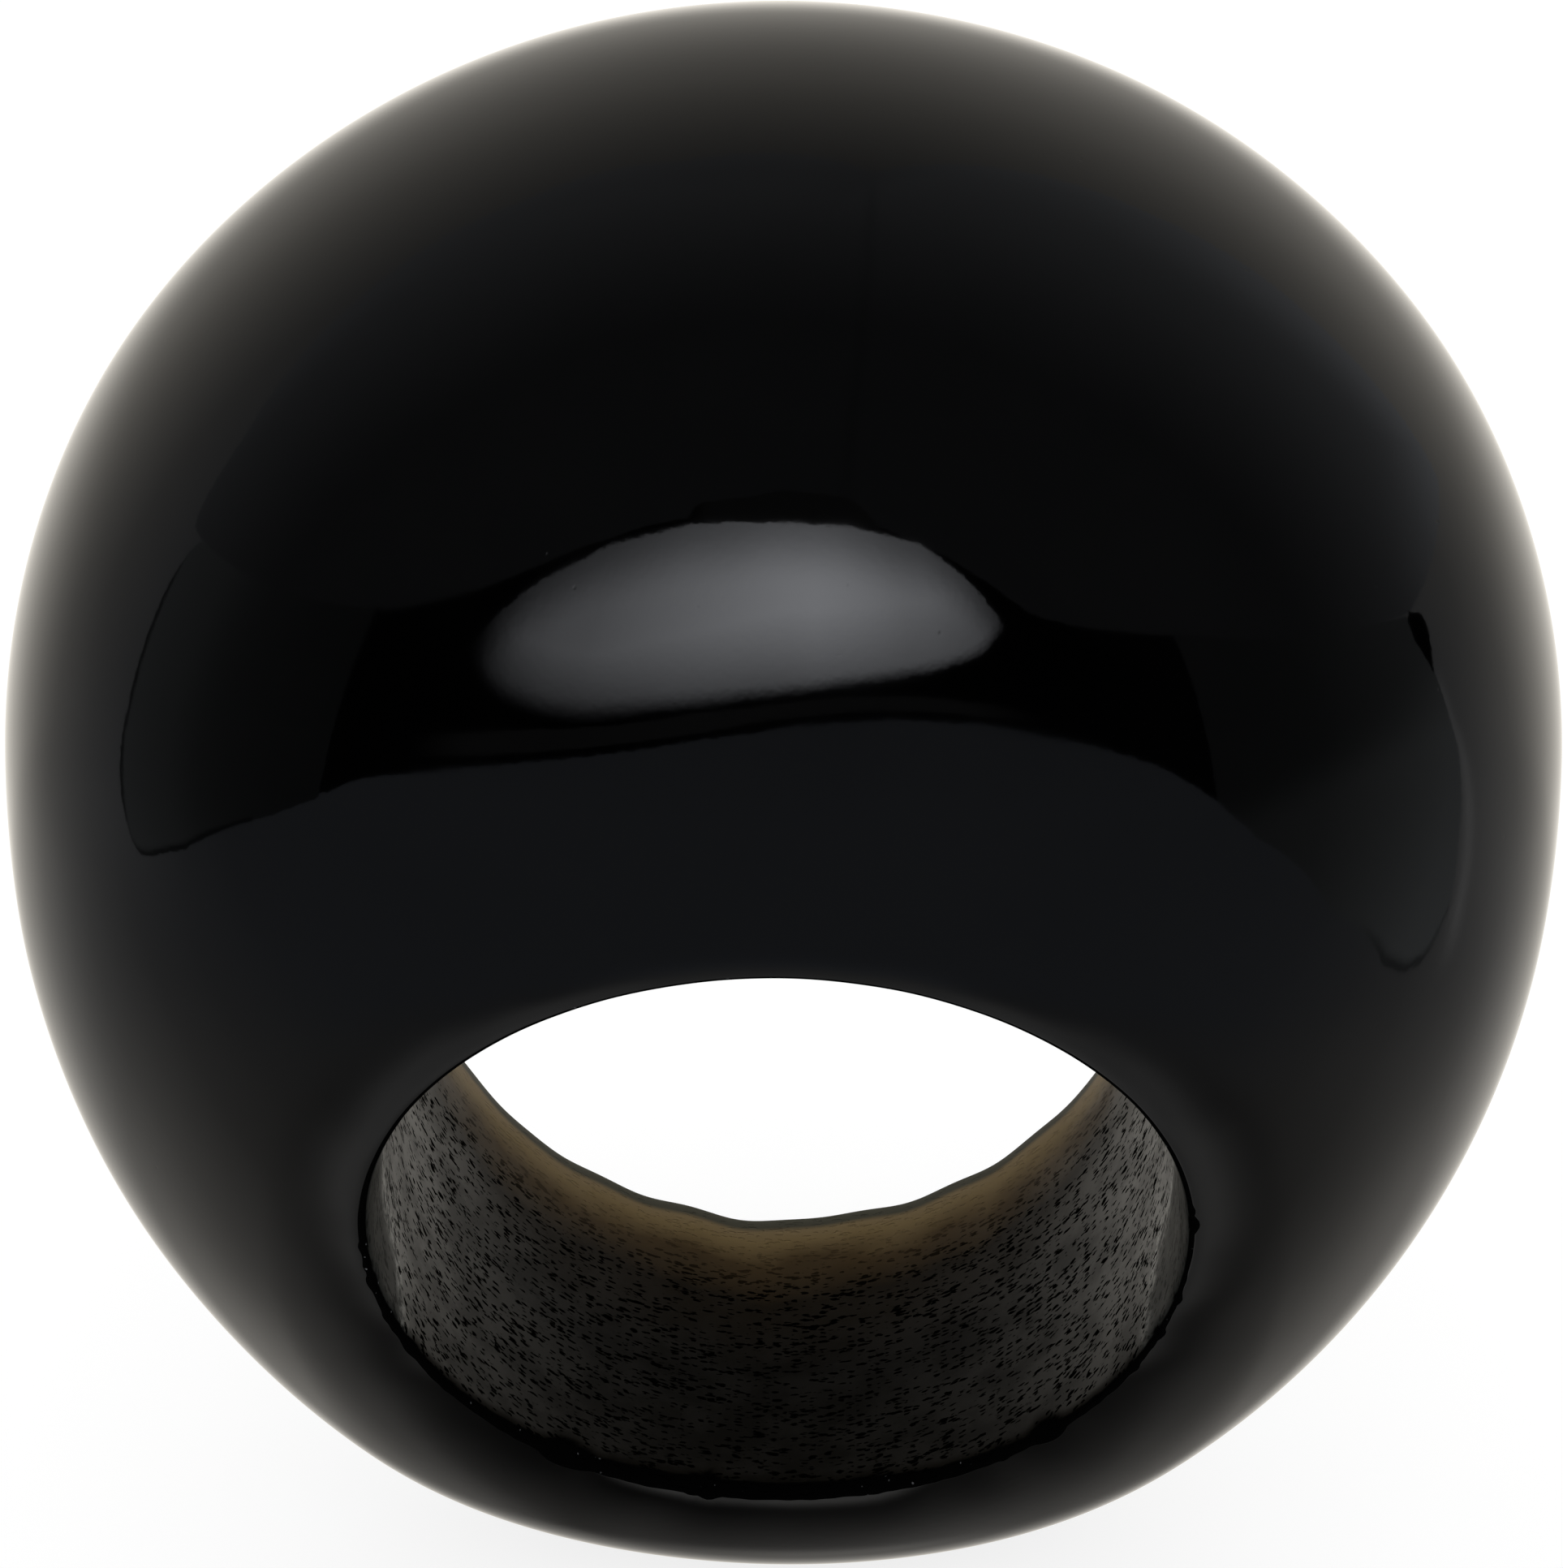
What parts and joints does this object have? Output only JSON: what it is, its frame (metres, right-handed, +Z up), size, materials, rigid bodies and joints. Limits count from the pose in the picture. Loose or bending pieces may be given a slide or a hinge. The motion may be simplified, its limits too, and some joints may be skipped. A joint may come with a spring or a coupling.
{
  "type": "domed finger ring",
  "caption": "Domed finger ring carved from solid polished black stone, with a finger hole set low in it, ground matt inside and slightly flared at its mouths.",
  "frame": {"origin": "centre of the finger hole, on its axis and midway between its two mouths", "axes": "+Z up through the crown of the dome, +Y along the finger hole away from the camera of the picture, +X to the right of the picture"},
  "size_m": [0.0344, 0.027, 0.0373],
  "materials": {
    "black_stone": "polished outside, ground matt and finely pitted inside the finger hole"
  },
  "bodies": {
    "root": {"stone_ring": "black_stone"}
  },
  "joints": []
}
